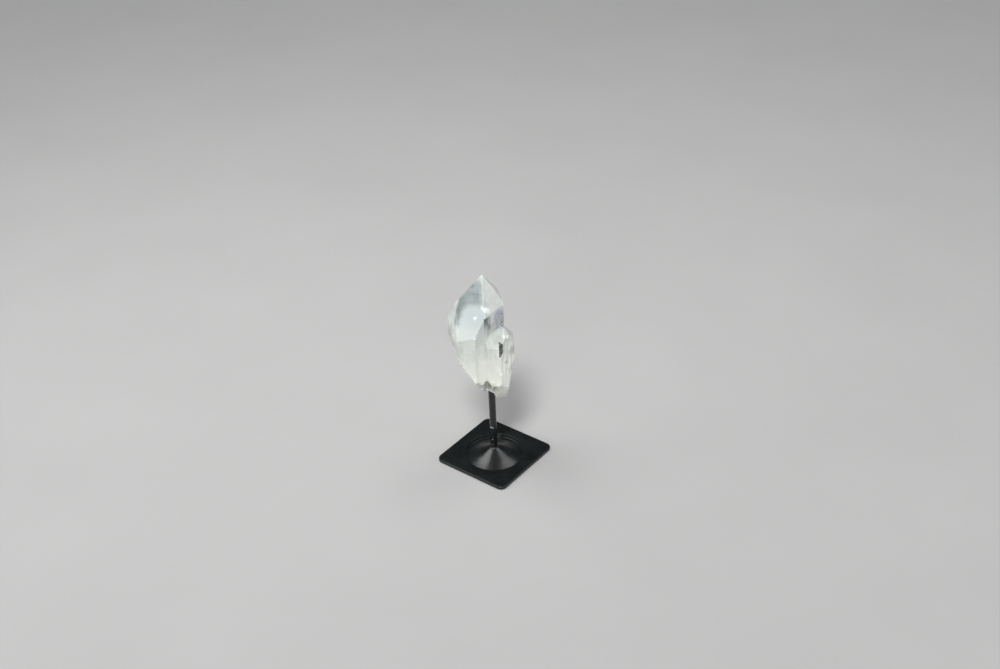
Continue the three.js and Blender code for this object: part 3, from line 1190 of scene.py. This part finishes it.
def edge_window(quartz, jag):
    """The window on the front edge of the side crystal, narrower at its foot."""
    right_side = quartz.x - quartz.z.ramp(94.6, 98.4) * 2.0 + jag * 0.2
    window = (quartz.x + jag * 0.2).ramp(6.1, 6.5) * (1 - right_side.ramp(7.0, 7.4))
    window = window * quartz.band(quartz.z + quartz.x * 0.55 + jag, 98.3, 109.3, 0.4)
    return window * (1 - quartz.y.ramp(-10.0, -9.0))


jag = (quartz.fine - 0.5) * 2.4
upper, lower = ridge_window(quartz, jag), edge_window(quartz, jag)
streaky = upper * (0.60 + 2.0 * (quartz.streak - 0.44))
window = streaky.most(lower * (0.25 + 1.1 * quartz.fine))
clear = clear_share(quartz, zones) * (1 - 0.4 * quartz.broken) * (1 - 0.5 * quartz.wear_and_rim_light ** 1.5)
clear = (clear * (1 - zones.notch)).most(window) * (1 - quartz.bruise) * (1 - quartz.pit)
milk = 1 - clear.ramp(0.0, 1.0)
print("nodes with the clear share:", len(quartz.tree.nodes))

# %% [markdown]
# ## Colours of the milk
#
# The milk is grey-white high up and creamy at the foot, bluish where it is thin, and
# faintly lavender in one cloud. Dirt stays in the pits and in specks on the root, and
# painted shade darkens the creases, the broken root and its two front hollows, while
# painted light lifts the seam between the crystals. Worn edges are white and carry a
# painted rim highlight, and the bruises and the notch carry painted glints.

# %% Colours of quartz
MILK = rgba(0.645, 0.68, 0.64)
CREAM = rgba(0.775, 0.795, 0.72)
RIGHT_POINT = rgba(0.70, 0.73, 0.71)
PHANTOM_DIM = rgba(0.47, 0.53, 0.54)
PHANTOM_BRIGHT = rgba(0.585, 0.62, 0.605)
THIN_MILK = rgba(0.54, 0.605, 0.605)
UNDER_WINDOW = rgba(0.42, 0.45, 0.44)
SIDE_CRYSTAL = rgba(0.88, 0.90, 0.85)
# Painted light: lifts the shaded seam between the two crystals.
SEAM_PAINTED_LIGHT = rgba(0.92, 0.94, 0.89)
GREY_PATCH = rgba(0.52, 0.53, 0.51)
LAVENDER = rgba(0.62, 0.635, 0.735)
LEFT_STRIP = rgba(0.56, 0.62, 0.59)
# Painted shade: the broken root looks down, so its colour is darker.
BROKEN_ROOT_SHADE = rgba(0.62, 0.64, 0.60)
PALE_ROOT = rgba(0.77, 0.79, 0.74)
DIRT_AND_CREASE_SHADE = rgba(0.38, 0.39, 0.35)
# Painted shade: the dark of the two front hollows in the root.
HOLLOW_PAINTED_SHADE = rgba(0.20, 0.21, 0.18)
PIT = rgba(0.10, 0.10, 0.11)
# Worn edges are white, and the white is also a painted rim highlight.
WORN_AND_RIM_HIGHLIGHT = rgba(0.93, 0.95, 0.94)
# Painted highlight on the floor of the notch.
NOTCH_PAINTED_HIGHLIGHT = rgba(0.74, 0.77, 0.77)
# Painted glints: the white of the bruises.
BRUISE_PAINTED_GLINT = rgba(0.97, 0.98, 0.98)
print("from milk to cream:", MILK[:3], "to", CREAM[:3])

# %% Milk colour
def zone_colour(quartz, zones):
    """The milk's own colour, with the colour of each zone laid over it in turn."""
    warm = zones.low * 0.95 + (quartz.cloud - 0.5) * 0.3
    colour = quartz.mix(warm, MILK, CREAM)
    phantom = quartz.mix(zones.bright, PHANTOM_DIM, PHANTOM_BRIGHT)
    layers = [
        (0.8 * zones.right_point, RIGHT_POINT),
        (0.9 * zones.phantom, phantom),
        (zones.clear_point, THIN_MILK),
        (0.85 * zones.under_window, UNDER_WINDOW),
        (0.8 * zones.side, SIDE_CRYSTAL),
        (0.4 * zones.seam_painted_light, SEAM_PAINTED_LIGHT),
        (0.55 * zones.grey_patch, GREY_PATCH),
        (0.8 * zones.lavender, LAVENDER),
        (0.7 * zones.left_strip, LEFT_STRIP),
    ]
    for amount, layer in layers:
        colour = quartz.mix(amount, colour, layer)
    return colour


def with_painted_light_dirt_and_wear(quartz, zones, colour):
    """The colour under painted shade on the root, its creases and hollows, dirt and pits, and
    white worn edges with painted highlights and glints.
    """
    specks = 0.20 * quartz.broken * quartz.fine.ramp(0.45, 0.7)
    # Painted shade in the creases, strongest on the broken root; the specks are dirt.
    crease_shade = quartz.crease * (0.06 + 0.6 * quartz.broken) * (1 - zones.seam_painted_light)
    layers = [
        # painted shade on the broken root, which looks down
        (0.5 * quartz.broken, BROKEN_ROOT_SHADE),
        (crease_shade.most(specks) * (1 - 0.8 * zones.pale_root), DIRT_AND_CREASE_SHADE),
        (0.8 * zones.pale_root, PALE_ROOT),
        (zones.hollow_shade, HOLLOW_PAINTED_SHADE),
        (quartz.pit.ramp(0.1, 0.8), PIT),
        (0.5 * quartz.wear_and_rim_light ** 2.0, WORN_AND_RIM_HIGHLIGHT),
        (zones.notch, NOTCH_PAINTED_HIGHLIGHT),
        (quartz.bruise, BRUISE_PAINTED_GLINT),
    ]
    for amount, layer in layers:
        colour = quartz.mix(amount, colour, layer)
    return colour


milk_colour = with_painted_light_dirt_and_wear(quartz, zones, zone_colour(quartz, zones))
print("nodes with the colours:", len(quartz.tree.nodes))

# %% [markdown]
# ## The two shaders
#
# Both shaders share one bump, fine on the faces and rougher on the break. In the windows
# the glass colour is painted dark, as painted shade for the depth seen through it, and
# the absorption in its depth is a plain colour and density.

# %% Quartz shaders
CLEAR_TINT = rgba(0.92, 0.95, 0.95)
# Painted shade: the dark depth seen through the clear windows.
WINDOW_PAINTED_DARK = rgba(0.14, 0.15, 0.15)

grain = quartz.fine.ramp(0.5, 0.75)
rough_break = quartz.broken * quartz.noise(quartz.place, 2.2, detail=4.0) * 0.7
bump = quartz.node("ShaderNodeBump", None, {
    "Strength": 0.15,
    "Distance": 0.0002,
    "Height": quartz.fine + rough_break,
})
milky = quartz.node("ShaderNodeBsdfPrincipled", None, {
    "Base Color": milk_colour,
    "Roughness": 0.10 + 0.18 * grain + 0.15 * quartz.wear_and_rim_light,
    "IOR": QUARTZ_IOR,
    "Subsurface Weight": 0.4,
    "Subsurface Radius": (1.0, 1.0, 1.0),
    "Subsurface Scale": 0.001,
    "Normal": bump,
})
glass = quartz.node("ShaderNodeBsdfPrincipled", None, {
    "Base Color": quartz.mix(upper.most(lower), CLEAR_TINT, WINDOW_PAINTED_DARK),
    "Roughness": 0.03 + 0.08 * grain,
    "IOR": QUARTZ_IOR,
    "Transmission Weight": 1.0,
    "Normal": bump,
})
depth = quartz.node("ShaderNodeVolumeAbsorption", None, {
    "Color": rgba(0.82, 0.88, 0.88),
    "Density": 90.0,
})
quartz.show(quartz.node("ShaderNodeMixShader", None, {0: milk, 1: glass, 2: milky}), depth)
mesh_object("quartz_crystal", crystal_mesh, "crystal", quartz.material)
